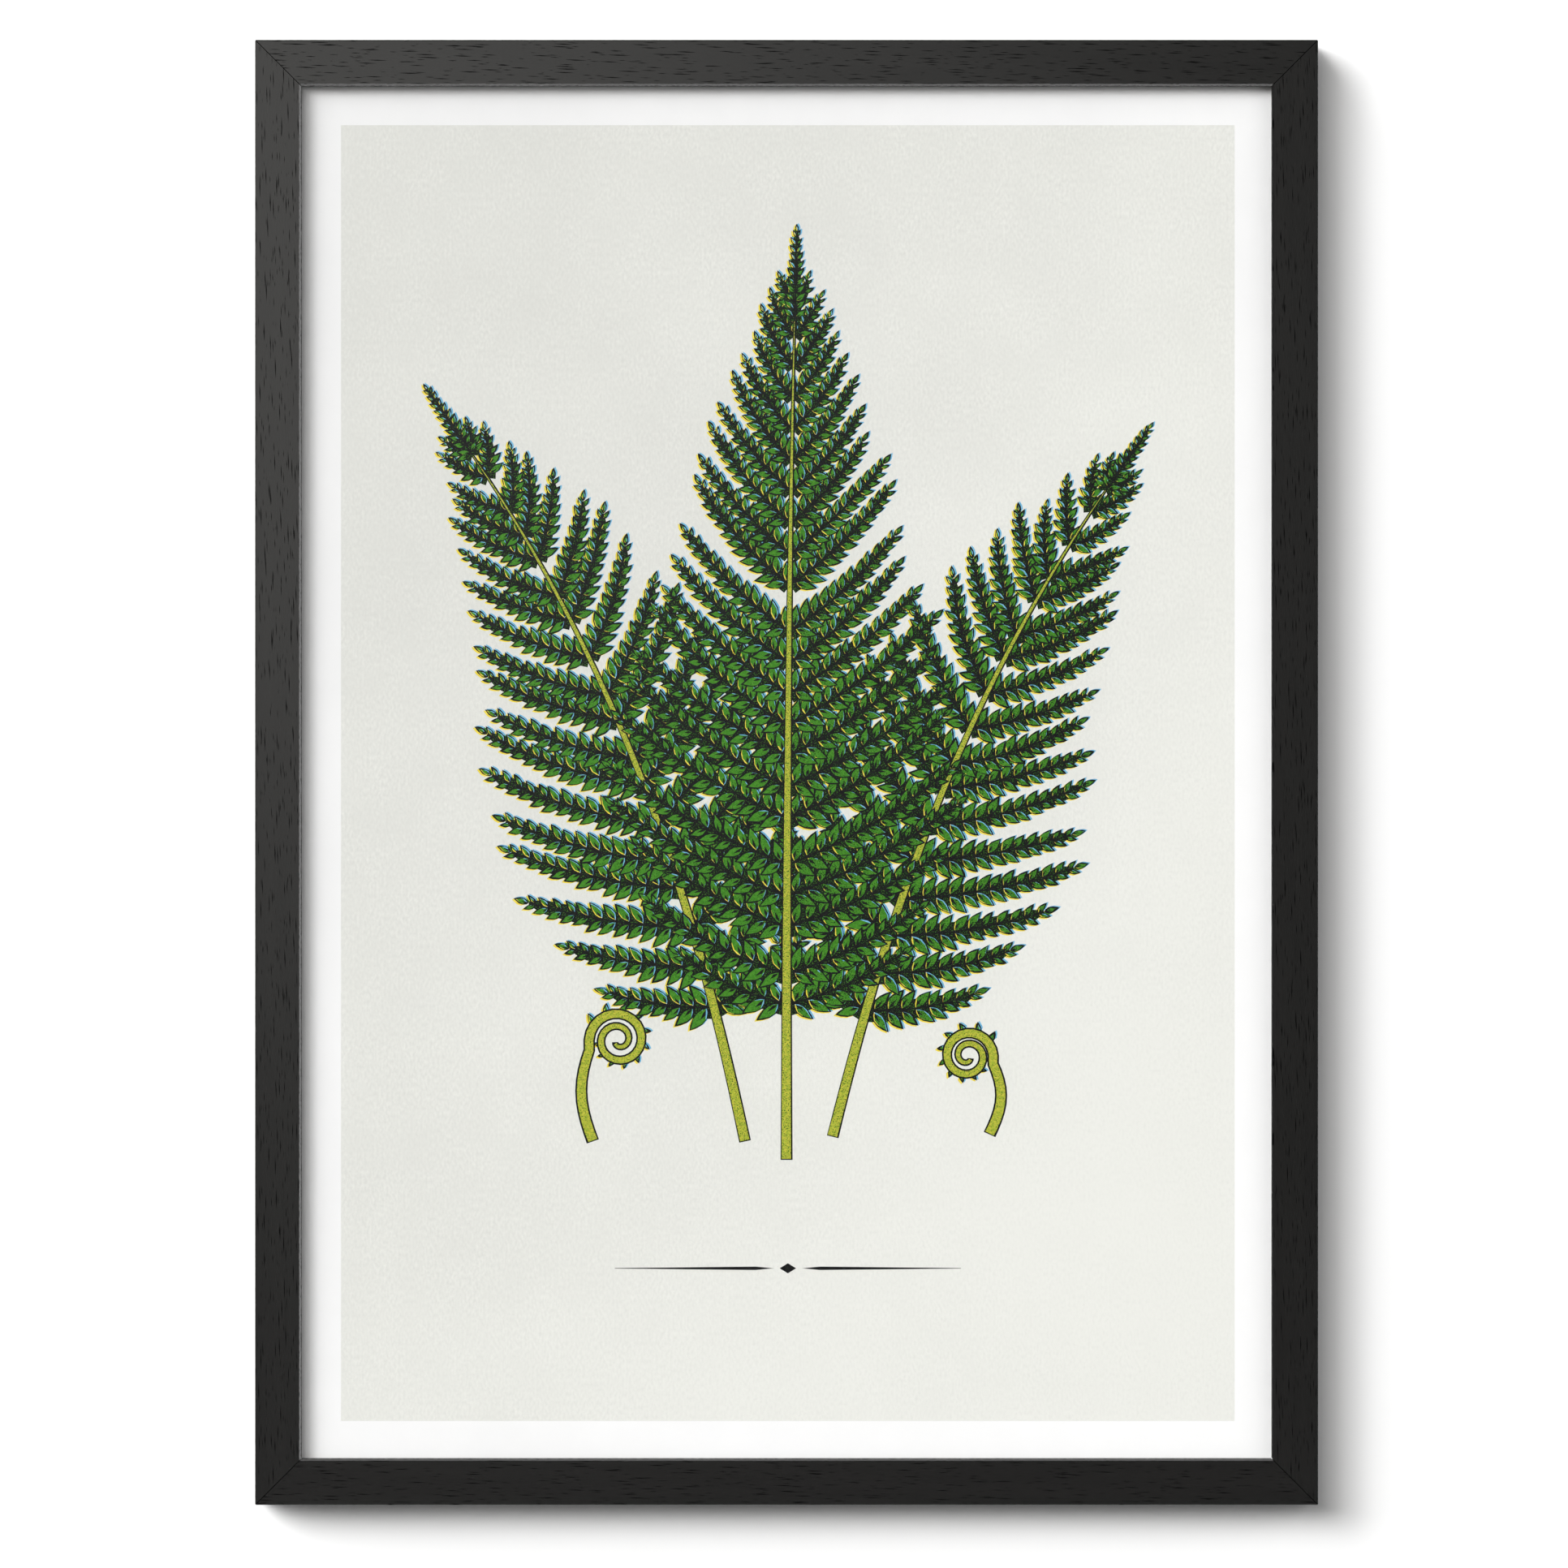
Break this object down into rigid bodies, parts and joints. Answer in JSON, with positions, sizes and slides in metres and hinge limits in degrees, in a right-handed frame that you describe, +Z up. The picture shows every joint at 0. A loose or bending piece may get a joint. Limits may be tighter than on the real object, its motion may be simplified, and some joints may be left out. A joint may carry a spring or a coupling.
{
  "type": "framed botanical print",
  "caption": "Black open-grain timber picture frame, mitred round clear glazing and a white-bordered botanical print, with a fibreboard back and a saw-tooth wall hanger.",
  "frame": {"origin": "middle of the flat rear face of the hanger's raised part, which lies on the wall", "axes": "+Y out of the rear into the wall, +Z up, +X to the viewer's right; the print faces -Y"},
  "size_m": [0.46, 0.0255, 0.634],
  "materials": {
    "timber": "black satin lacquer over open-grain timber, its pores left open",
    "glazing": "clear polished acrylic sheet",
    "paper": "matte white sheet printed with an off-white panel and a green botanical plate",
    "card": "cream undermount card",
    "fibreboard": "brown fibreboard, smooth outer face",
    "steel": "bright rolled steel",
    "zinc": "zinc-plated pressed steel",
    "rubber": "matte dark rubber"
  },
  "bodies": {
    "root": {"glazing": "glazing", "print_sheet": "paper", "undermount_card": "card", "backing_board": "fibreboard", "stile_left": "timber", "rail_top": "timber", "stile_right": "timber", "rail_bottom": "timber", "stile_left_point_1": "steel", "stile_left_point_2": "steel", "stile_left_point_3": "steel", "rail_top_point_1": "steel", "rail_top_point_2": "steel", "stile_right_point_1": "steel", "stile_right_point_2": "steel", "stile_right_point_3": "steel", "rail_bottom_point_1": "steel", "rail_bottom_point_2": "steel", "hanger_plate": "zinc", "hanger_nail_left": "steel", "hanger_nail_right": "steel", "bumper_left": "rubber", "bumper_right": "rubber"}
  },
  "joints": []
}
